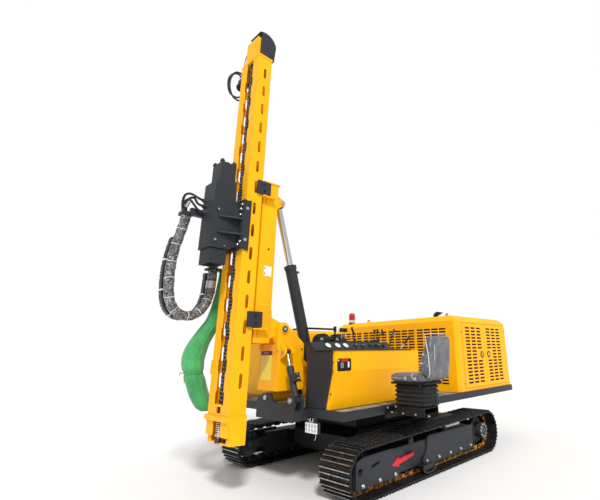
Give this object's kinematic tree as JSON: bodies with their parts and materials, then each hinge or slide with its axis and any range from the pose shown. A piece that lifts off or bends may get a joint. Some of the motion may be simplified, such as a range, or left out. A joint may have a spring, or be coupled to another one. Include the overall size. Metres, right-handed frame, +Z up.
{
  "type": "crawler pile driver rig",
  "caption": "Tracked pile driver: engine house and console on a crawler deck, tall mast that tilts, folds and slides, with a hydraulic hammer that feeds along it.",
  "frame": {"origin": "middle of the floor plan of the machine without its hose loop, on the ground under the tracks", "axes": "+Z up, the machine faces -Y and its left side, with the seat, is +X"},
  "size_m": [3.128, 5.183, 5.3688],
  "materials": {
    "yellow_enamel": "gloss enamel, golden yellow",
    "dark_grey_enamel": "satin enamel, dark grey",
    "black_enamel": "satin enamel, black",
    "steel_parts": "bare and oiled steel",
    "track_steel": "blackened steel shoes, worn",
    "chromed_rod": "hard chrome",
    "bellows_rubber": "moulded rubber",
    "seat_vinyl": "grey vinyl under clear film",
    "green_fabric": "woven sleeve",
    "hose_wrap": "hose bundle in film",
    "red_lens": "red lens"
  },
  "bodies": {
    "chassis": {"beacon": "red_lens", "carbody": "black_enamel", "console_cabinet": "yellow_enamel", "console_panel": "dark_grey_enamel", "console_post": "dark_grey_enamel", "control_levers": "black_enamel", "deck_frame": "dark_grey_enamel", "engine_block": "steel_parts", "engine_house": "yellow_enamel", "exhaust_pipe": "black_enamel", "front_bracket": "dark_grey_enamel", "handrail": "black_enamel", "idler_left": "steel_parts", "idler_right": "steel_parts", "seat_backrest": "seat_vinyl", "seat_bracket": "black_enamel", "seat_cushion": "seat_vinyl", "seat_suspension": "bellows_rubber", "side_tank": "yellow_enamel", "sprocket_left": "steel_parts", "sprocket_right": "steel_parts", "tank_caps": "black_enamel", "tilt_bearing": "dark_grey_enamel", "track_frame_left": "dark_grey_enamel", "track_frame_right": "dark_grey_enamel", "track_left": "track_steel", "track_right": "track_steel", "work_light": "dark_grey_enamel"},
    "tilt_frame": {"tilt_box": "yellow_enamel"},
    "tilt_barrel": {"tilt_cylinder_barrel": "dark_grey_enamel"},
    "tilt_rod": {"tilt_cylinder_rod": "chromed_rod"},
    "raise_barrel": {"raise_cylinder_barrel": "dark_grey_enamel"},
    "raise_rod": {"raise_cylinder_rod": "chromed_rod"},
    "guide": {"guide_beam": "yellow_enamel", "guide_block_upper": "dark_grey_enamel", "guide_block_lower": "dark_grey_enamel"},
    "mast": {"mast_column": "yellow_enamel", "mast_foot": "yellow_enamel", "mast_head": "yellow_enamel", "mast_top_cover": "dark_grey_enamel", "feed_chain": "steel_parts", "feed_motor": "black_enamel", "hose_bracket": "dark_grey_enamel", "hose_sleeve": "green_fabric"},
    "hammer": {"hammer_carriage": "dark_grey_enamel", "hammer_housing": "dark_grey_enamel", "hammer_body": "dark_grey_enamel", "pile_cap": "dark_grey_enamel", "hose_loop": "hose_wrap"},
    "door_left_front": {"house_door_left_front": "yellow_enamel"},
    "door_left_rear": {"house_door_left_rear": "yellow_enamel"},
    "door_right_front": {"house_door_right_front": "yellow_enamel"},
    "door_right_rear": {"house_door_right_rear": "yellow_enamel"}
  },
  "joints": [
    {"name": "door_left_front_hinge", "type": "hinge", "parent": "chassis", "child": "door_left_front", "pos_m": [0.876, 1.114, 1.2], "axis": [0, 0, -1], "range_deg": [0, 105]},
    {"name": "door_left_rear_hinge", "type": "hinge", "parent": "chassis", "child": "door_left_rear", "pos_m": [0.876, 2.428, 1.2], "axis": [0, 0, 1], "range_deg": [0, 105]},
    {"name": "door_right_front_hinge", "type": "hinge", "parent": "chassis", "child": "door_right_front", "pos_m": [-1.538, 1.114, 1.2], "axis": [0, 0, 1], "range_deg": [0, 105]},
    {"name": "door_right_rear_hinge", "type": "hinge", "parent": "chassis", "child": "door_right_rear", "pos_m": [-1.538, 2.428, 1.2], "axis": [0, 0, -1], "range_deg": [0, 105]},
    {"name": "side_tilt", "type": "hinge", "parent": "chassis", "child": "tilt_frame", "pos_m": [-0.104, -1.275, 0.862], "axis": [0, 1, 0], "range_deg": [-8, 8]},
    {"name": "tilt_barrel_pivot", "type": "hinge", "parent": "chassis", "child": "tilt_barrel", "pos_m": [0.342, -1.42, 0.854], "axis": [0, 1, 0], "range_deg": [-5.27, 5.27]},
    {"name": "tilt_rod_slide", "type": "slide", "parent": "tilt_barrel", "child": "tilt_rod", "axis": [-0.3774, 0, 0.926], "range_m": [-0.05736, 0.05736]},
    {"name": "mast_fold", "type": "hinge", "parent": "tilt_frame", "child": "guide", "pos_m": [-0.104, -1.435, 1.578], "axis": [-1, 0, 0], "range_deg": [-5, 60]},
    {"name": "raise_barrel_pivot", "type": "hinge", "parent": "tilt_frame", "child": "raise_barrel", "pos_m": [-0.104, -0.855, 1.02], "axis": [-1, 0, 0], "range_deg": [-3.64, 43.56]},
    {"name": "raise_rod_slide", "type": "slide", "parent": "raise_barrel", "child": "raise_rod", "axis": [0, -0.2886, 0.9574], "range_m": [-0.60356, 0.05039]},
    {"name": "mast_slide", "type": "slide", "parent": "guide", "child": "mast", "axis": [0, 0, 1], "range_m": [-0.3, 0.25]},
    {"name": "hammer_feed", "type": "slide", "parent": "mast", "child": "hammer", "axis": [0, 0, 1], "range_m": [-1.2, 1.35], "deforming": ["hose_loop"]}
  ],
  "couplings": [
    {"joint": "tilt_barrel_pivot", "follows": "side_tilt", "ratio": 0.65746},
    {"joint": "tilt_rod_slide", "follows": "side_tilt", "m_per_rad": -0.41006},
    {"joint": "raise_barrel_pivot", "follows": "mast_fold", "ratio": 0.72587},
    {"joint": "raise_rod_slide", "follows": "mast_fold", "m_per_rad": -0.57626}
  ]
}
